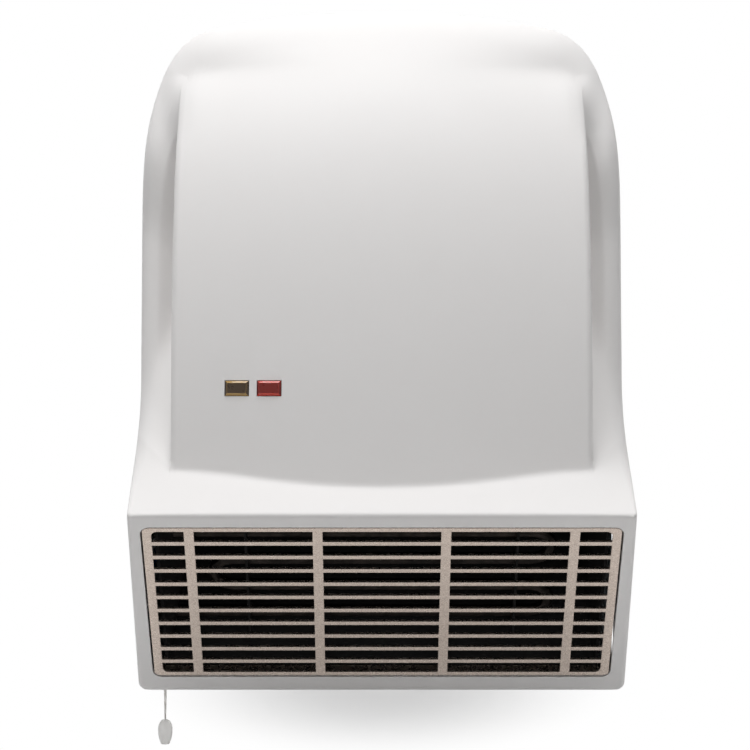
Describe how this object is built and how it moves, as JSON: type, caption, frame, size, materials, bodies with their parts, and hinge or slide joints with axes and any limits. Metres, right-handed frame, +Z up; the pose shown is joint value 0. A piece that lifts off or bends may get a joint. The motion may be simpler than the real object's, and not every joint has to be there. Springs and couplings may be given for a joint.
{
  "type": "bathroom wall fan heater",
  "caption": "White moulded wall fan heater with a bulged front, a hooded air outlet behind a slotted metal grille, neon indicators and a pull-cord switch",
  "frame": {"origin": "middle of the wall face of the back plate, in the plane of the wall", "axes": "+Z up the wall, -Y out of the wall to the front, +X to the right as seen from the front"},
  "size_m": [0.2634, 0.1375, 0.4042],
  "materials": {
    "casing": "white gloss moulding",
    "grille_metal": "warm grey satin metal",
    "galvanised": "zinc-coated sheet",
    "dark_steel": "dark steel",
    "black_plastic": "moulded black",
    "white_plastic": "moulded off-white",
    "lens_amber": "clear amber plastic lens",
    "lens_red": "clear red plastic lens",
    "lamp_glass": "clear glass",
    "copper": "lacquered copper winding",
    "brass": "plain brass",
    "nylon_cord": "twisted white cord",
    "rubber": "black rubber",
    "lead_brown": "brown insulation",
    "lead_blue": "blue insulation",
    "lead_white": "white insulation"
  },
  "bodies": {
    "housing": {"front_casing": "casing", "outlet_grille": "grille_metal", "lens_amber": "lens_amber", "lens_red": "lens_red", "neon_lamp_amber": "lamp_glass", "neon_lamp_red": "lamp_glass", "lens_retainer": "galvanised", "back_plate": "galvanised", "casing_screw_left": "dark_steel", "casing_screw_right": "dark_steel", "fan_scroll": "galvanised", "fan_cut_off": "galvanised", "fan_side_plate_left": "galvanised", "fan_side_plate_right": "galvanised", "fan_end_bearing": "rubber", "motor_stack": "dark_steel", "motor_coil": "copper", "motor_bracket_inner": "galvanised", "motor_bracket_outer": "galvanised", "motor_screw_rear": "dark_steel", "motor_screw_front": "dark_steel", "outlet_duct": "dark_steel", "heating_element": "dark_steel", "element_bracket_left": "galvanised", "element_bracket_right": "galvanised", "thermal_cutout": "black_plastic", "pull_switch": "black_plastic", "pull_spring": "dark_steel", "cord_bush": "white_plastic", "terminal_block": "white_plastic", "terminal_barrel_1": "brass", "terminal_barrel_2": "brass", "terminal_barrel_3": "brass", "terminal_screw_1": "dark_steel", "terminal_screw_2": "dark_steel", "terminal_screw_3": "dark_steel", "cable_clamp": "white_plastic", "clamp_screw_left": "dark_steel", "clamp_screw_right": "dark_steel", "lead_live": "lead_brown", "lead_switched": "lead_white", "lead_element": "lead_white", "lead_neutral": "lead_blue", "lead_motor": "lead_blue"},
    "fan_rotor": {"fan_impeller": "galvanised", "fan_shaft": "dark_steel", "motor_rotor": "dark_steel"},
    "pull": {"pull_plunger": "white_plastic", "pull_cord": "nylon_cord", "cord_toggle": "white_plastic"}
  },
  "joints": [
    {"name": "fan_spin", "type": "hinge", "parent": "housing", "child": "fan_rotor", "pos_m": [0, -0.058, 0.008], "axis": [1, 0, 0], "continuous": true},
    {"name": "pull_slide", "type": "slide", "parent": "housing", "child": "pull", "axis": [0, 0, -1], "range_m": [0, 0.008], "stiffness_N_per_m": 250, "deforming": ["pull_spring"]}
  ]
}
